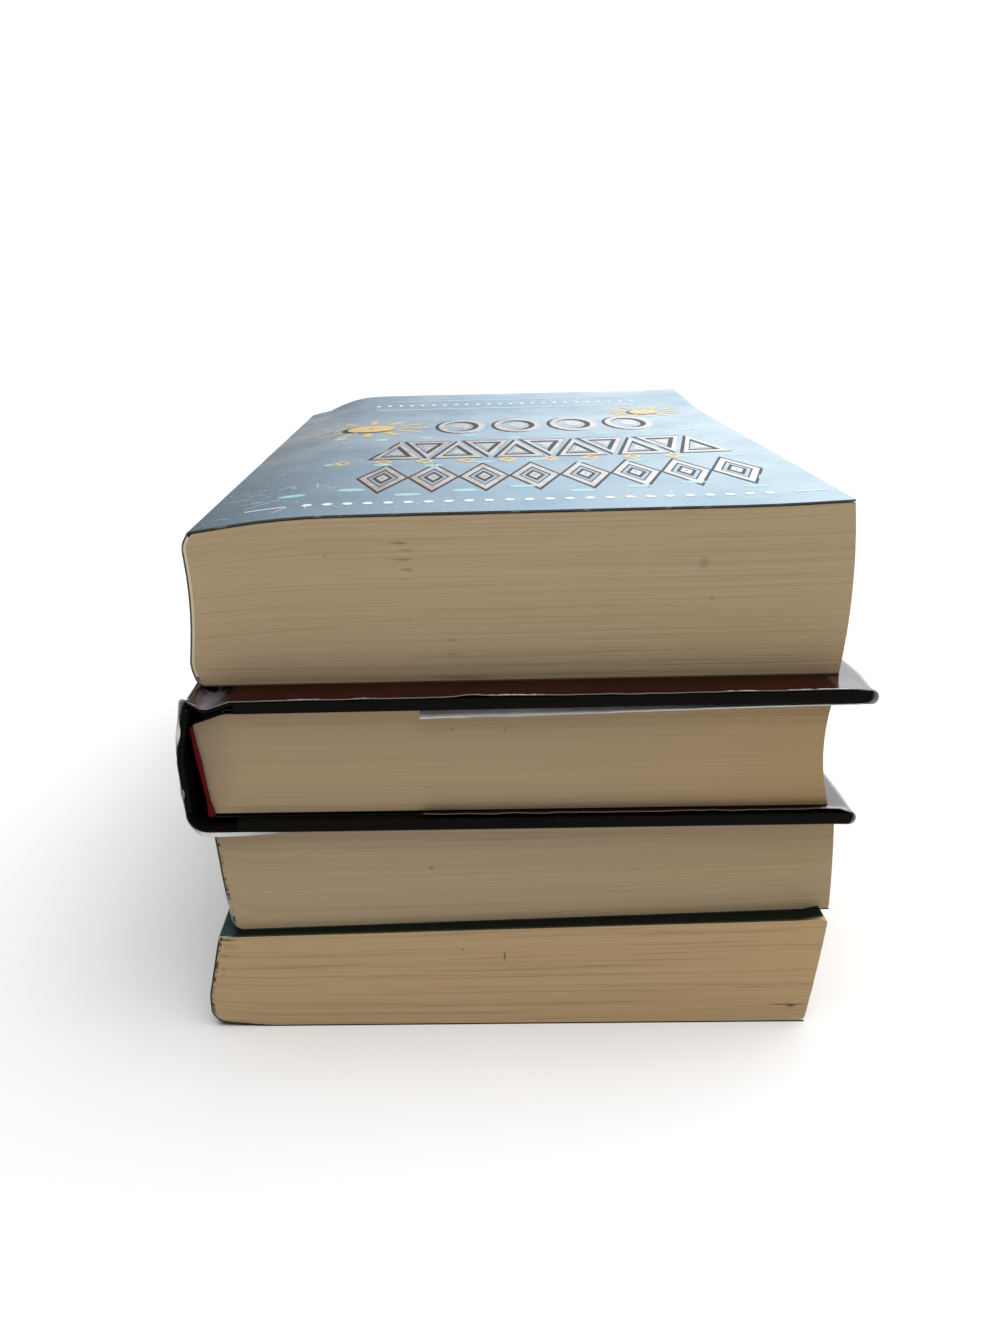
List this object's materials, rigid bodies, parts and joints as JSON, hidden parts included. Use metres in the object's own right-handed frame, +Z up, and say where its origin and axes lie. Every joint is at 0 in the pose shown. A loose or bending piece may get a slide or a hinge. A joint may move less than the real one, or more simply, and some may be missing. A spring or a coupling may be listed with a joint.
{
  "type": "stack of books",
  "caption": "Stack of closed books lying flat: paperbacks and a jacketed hardcover, with a hinged front cover on the top one.",
  "frame": {"origin": "centre of the stack's footprint on the surface it lies on", "axes": "+Z up, +X from the spines to the fore edges, +Y from the tail ends to the head ends"},
  "size_m": [0.1494, 0.2194, 0.1244],
  "materials": {
    "bottom_pages": "matte",
    "bottom_cover": "satin",
    "lower_pages": "matte",
    "lower_cover": "satin",
    "hardcover_pages": "matte",
    "binders_board": "matte",
    "case_covering": "matte",
    "spine_lining": "matte",
    "red_band": "matte",
    "endpaper": "matte",
    "dust_jacket": "gloss",
    "top_pages": "matte",
    "top_cover": "gloss",
    "binding_glue": "satin"
  },
  "bodies": {
    "stack": {"bottom_book_pages": "bottom_pages", "bottom_book_cover": "bottom_cover", "bottom_book_spine_glue": "binding_glue", "lower_book_pages": "lower_pages", "lower_book_cover": "lower_cover", "lower_book_spine_glue": "binding_glue", "hardcover_pages": "hardcover_pages", "hardcover_front_board": "binders_board", "hardcover_back_board": "binders_board", "hardcover_spine_inlay": "binders_board", "hardcover_case_covering": "case_covering", "hardcover_spine_lining": "spine_lining", "hardcover_tailband": "red_band", "hardcover_headband": "red_band", "hardcover_front_endpaper": "endpaper", "hardcover_back_endpaper": "endpaper", "hardcover_dust_jacket": "dust_jacket", "top_book_pages": "top_pages", "top_book_spine_and_back_cover": "top_cover", "top_book_spine_glue": "binding_glue"},
    "top_cover": {"top_book_front_cover": "top_cover"}
  },
  "joints": [
    {"name": "front_cover_crease", "type": "hinge", "parent": "stack", "child": "top_cover", "pos_m": [-0.06408, -0.09992, 0.11739], "axis": [0.0004, -1, 0.0047], "range_deg": [0, 170]}
  ]
}
